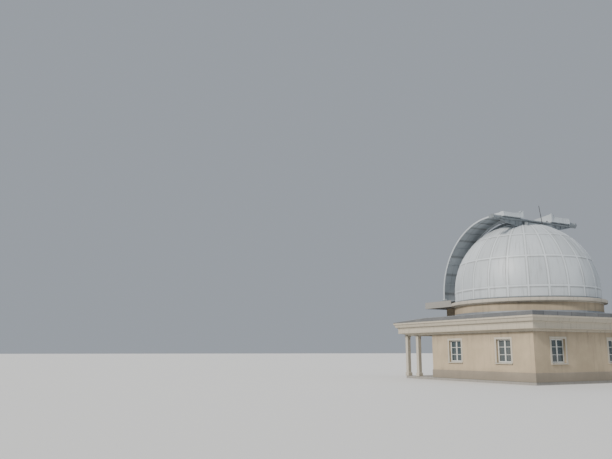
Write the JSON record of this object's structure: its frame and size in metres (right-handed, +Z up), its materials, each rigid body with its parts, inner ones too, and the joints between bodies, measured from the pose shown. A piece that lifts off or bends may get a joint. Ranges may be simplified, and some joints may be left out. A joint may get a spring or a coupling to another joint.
{
  "type": "observatory dome",
  "caption": "Small observatory: a turning hemispherical dome with a parted two-leaf shutter on a low drum, over a square one-storey block with a corniced porch.",
  "frame": {"origin": "on the dome's turning axis at ground level, on the underside of the floor slab", "axes": "+Z up, -Y towards the porch and the slit at rest, +X to the right of someone who looks from the porch's front towards the building"},
  "size_m": [8.8, 11.4, 9.8875],
  "materials": {
    "masonry": "painted render, matt",
    "trim": "smooth cast stone, matt",
    "concrete": "bare concrete, matt",
    "roofing": "concrete with a grey roofing felt",
    "shell": "light grey paint, weathered",
    "shutter": "light grey paint, weathered",
    "frame": "mid grey paint, satin",
    "steel": "galvanized, dull",
    "glass": "clear",
    "door": "oiled"
  },
  "bodies": {
    "building": {"floor_slab": "concrete", "wall_over_door": "masonry", "wall_back": "masonry", "entablature_front": "trim", "entablature_back": "trim", "roof_slab": "roofing", "drum_coping": "trim", "dome_track": "steel", "projecting_slab": "concrete", "wall_front_right": "masonry", "wall_front_left": "masonry", "wall_side_right": "masonry", "wall_side_left": "masonry", "window_pane_front_right": "glass", "window_pane_front_left": "glass", "window_pane_side_front_right": "glass", "window_pane_side_front_left": "glass", "window_pane_side_back_right": "glass", "window_pane_side_back_left": "glass", "window_pane_back_right": "glass", "window_pane_back_left": "glass", "entrance_door_right": "door", "entrance_door_left": "door", "porch_post_corner_right": "trim", "porch_post_corner_left": "trim", "porch_post_side_right": "trim", "porch_post_side_left": "trim", "porch_post_front_right": "trim", "porch_post_front_left": "trim", "entablature_side_right": "trim", "entablature_side_left": "trim", "drum_wall_front_right": "masonry", "drum_wall_front_left": "masonry", "drum_wall_back_right": "masonry", "drum_wall_back_left": "masonry", "slab_pier_right": "masonry", "slab_pier_left": "masonry"},
    "dome": {"slit_sill": "shell", "base_ring": "steel", "cross_rail": "frame", "rear_transom": "frame", "lower_rail": "frame", "lightning_rod": "steel", "shell_front_right": "shell", "shell_front_left": "shell", "shell_side_right": "shell", "shell_side_left": "shell", "shell_back_right": "shell", "shell_back_left": "shell", "coaming_right": "frame", "coaming_left": "frame"},
    "shutter_right": {"shutter_leaf_right": "shutter"},
    "shutter_left": {"shutter_leaf_left": "shutter"}
  },
  "joints": [
    {"name": "dome_turn", "type": "hinge", "parent": "building", "child": "dome", "pos_m": [0, 0, 4.44], "axis": [0, 0, 1], "continuous": true},
    {"name": "shutter_slide_right", "type": "slide", "parent": "dome", "child": "shutter_right", "axis": [-1, 0, 0], "range_m": [0, 1.0575]},
    {"name": "shutter_slide_left", "type": "slide", "parent": "dome", "child": "shutter_left", "axis": [1, 0, 0], "range_m": [0, 1.0575]}
  ],
  "couplings": [
    {"joint": "shutter_slide_left", "follows": "shutter_slide_right", "ratio": 1}
  ]
}
